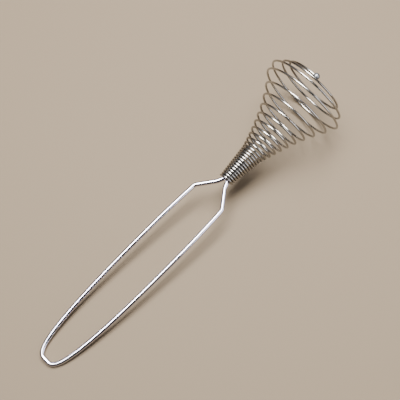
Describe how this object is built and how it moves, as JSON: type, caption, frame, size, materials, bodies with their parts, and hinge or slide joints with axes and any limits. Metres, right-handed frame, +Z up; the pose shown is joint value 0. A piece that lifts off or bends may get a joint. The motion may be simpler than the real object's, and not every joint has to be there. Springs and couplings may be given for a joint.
{
  "type": "spiral whisk",
  "caption": "Spiral whisk: a hairpin wire handle whose legs carry the neck of a conical spring coil, with a bead on the coil's free end.",
  "frame": {"origin": "middle of the whisk's outline, on the table it lies on", "axes": "+X along the whisk from the handle's loop to the coil's open end, +Z up from the table, +Y to the left"},
  "size_m": [0.2434, 0.0596, 0.0575],
  "materials": {
    "handle_steel": "bright drawn stainless steel wire, polished",
    "coil_steel": "bright drawn stainless steel spring wire",
    "bead_steel": "satin steel bead"
  },
  "bodies": {
    "whisk": {"handle_wire": "handle_steel", "coil_wire": "coil_steel"},
    "coil_end": {"tip_bead": "bead_steel"}
  },
  "joints": [
    {"name": "coil_press", "type": "slide", "parent": "whisk", "child": "coil_end", "axis": [-0.9938, 0, -0.1113], "range_m": [0, 0.02], "stiffness_N_per_m": 43, "deforming": ["coil_wire"]}
  ]
}
